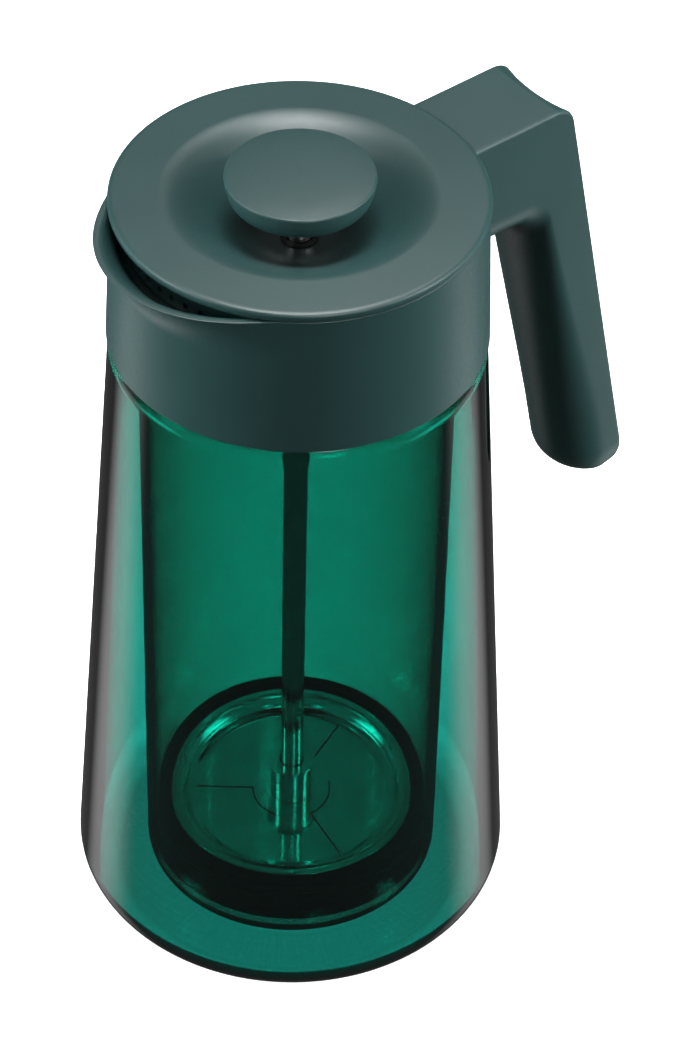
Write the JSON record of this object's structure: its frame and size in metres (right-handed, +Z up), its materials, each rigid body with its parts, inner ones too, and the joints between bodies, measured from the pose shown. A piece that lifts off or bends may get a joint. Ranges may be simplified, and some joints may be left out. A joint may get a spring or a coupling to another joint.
{
  "type": "french press",
  "caption": "Tall double-wall glass coffee press with a flared spout, leaning handle, round dished strainer lid and knobbed plunger.",
  "frame": {"origin": "centre of the jug's base, on the surface it stands on", "axes": "+Z up along the jug's axis, +X towards the handle, -X towards the spout"},
  "size_m": [0.1795, 0.1284, 0.2591],
  "materials": {
    "green_glass": "clear polished, emerald tinted",
    "jug_plastic": "satin moulded",
    "lid_plastic": "satin moulded",
    "knob_plastic": "satin moulded",
    "black_silicone": "matte",
    "polished_steel": "fine turned",
    "steel_mesh": "fine woven",
    "brass_insert": "machined"
  },
  "bodies": {
    "jug": {"outer_glass": "green_glass", "inner_glass": "green_glass", "vent_plug": "black_silicone", "collar": "jug_plastic", "rim_gasket": "black_silicone", "neck_gasket": "black_silicone", "lock_ring": "jug_plastic", "handle": "jug_plastic", "handle_screw_1": "polished_steel", "handle_screw_2": "polished_steel"},
    "lid_seal": {"lid_seal": "black_silicone"},
    "lid": {"lid_cover": "lid_plastic", "strainer": "lid_plastic", "rod_bush": "lid_plastic"},
    "rod_wiper": {"rod_wiper": "black_silicone"},
    "plunger": {"knob": "knob_plastic", "knob_insert": "brass_insert", "plunger_rod": "polished_steel", "filter_hub": "polished_steel", "spiral_plate": "polished_steel", "mesh_screen": "steel_mesh", "cross_plate": "polished_steel", "filter_ring": "black_silicone", "filter_washer": "polished_steel", "filter_nut": "polished_steel"}
  },
  "joints": [
    {"name": "lid_lift", "type": "slide", "parent": "jug", "child": "lid_seal", "axis": [0, 0, 1], "range_m": [0, 0.245]},
    {"name": "lid_turn", "type": "hinge", "parent": "lid_seal", "child": "lid", "pos_m": [0, 0, 0.239], "axis": [0, 0, 1], "continuous": true},
    {"name": "plunger_turn", "type": "hinge", "parent": "lid", "child": "rod_wiper", "pos_m": [0, 0, 0.2362], "axis": [0, 0, 1], "continuous": true},
    {"name": "plunger_slide", "type": "slide", "parent": "rod_wiper", "child": "plunger", "axis": [0, 0, 1], "range_m": [0, 0.185]}
  ]
}
